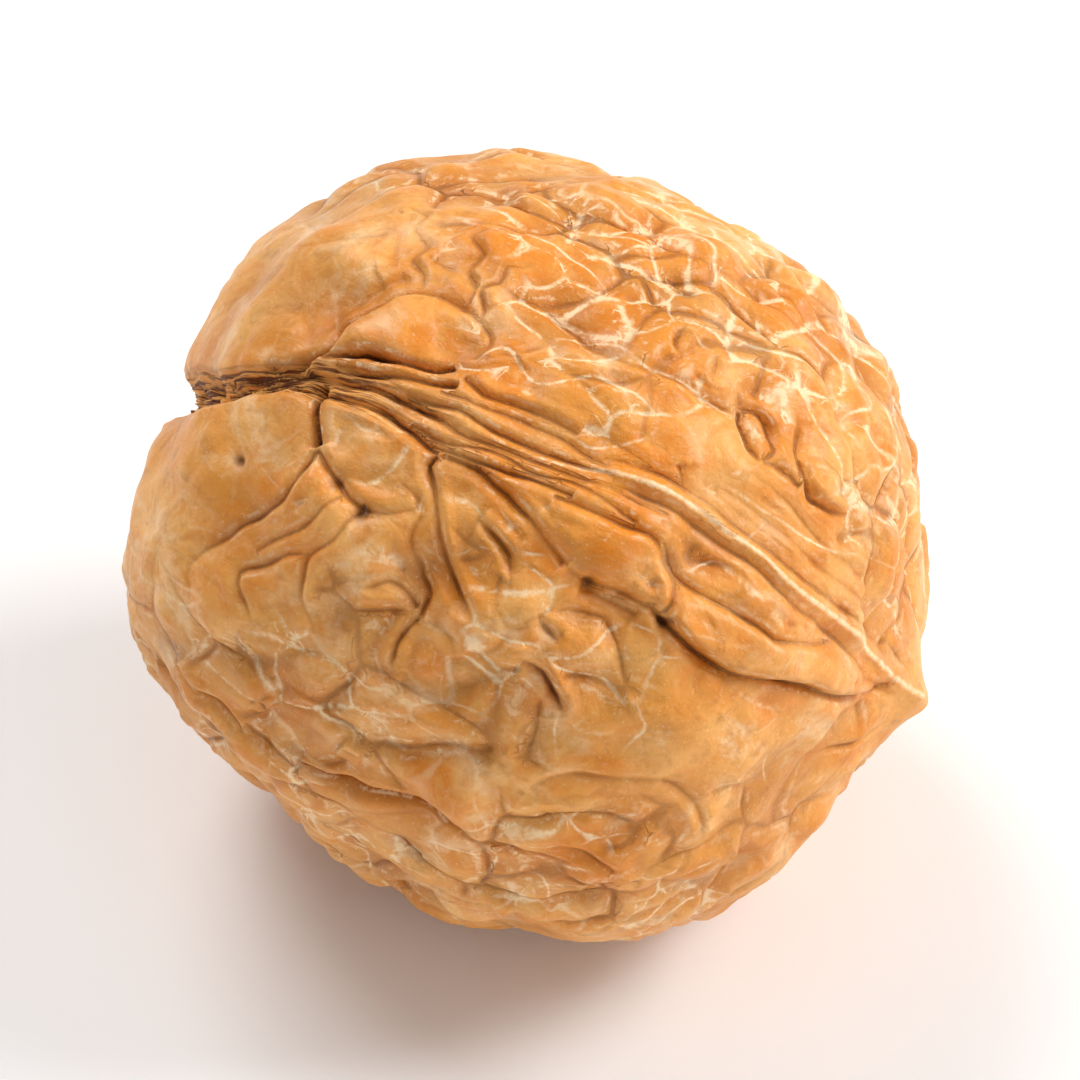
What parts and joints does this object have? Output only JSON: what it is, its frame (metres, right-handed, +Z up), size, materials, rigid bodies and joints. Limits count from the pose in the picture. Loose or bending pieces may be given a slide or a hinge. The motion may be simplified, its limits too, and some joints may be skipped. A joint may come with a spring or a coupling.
{
  "type": "walnut",
  "caption": "Whole walnut in its shell, lying on its side: nearly round and wrinkled, with a raised seam, an open furrow at the stem end and a short point at the tip.",
  "frame": {"origin": "on the surface that the nut rests on, under the middle of its bounding box", "axes": "+X along the nut from the stem end to the pointed tip, which dips below level; +Z up; -Y towards the lower half shell, so that the seam's near side faces up and towards -Y"},
  "size_m": [0.0368, 0.034, 0.0342],
  "materials": {
    "shell": "satin, slightly waxy dry nutshell; warm tan with orange-brown patches, pale cream veins and dark brown creases"
  },
  "bodies": {
    "root": {"walnut": "shell"}
  },
  "joints": []
}
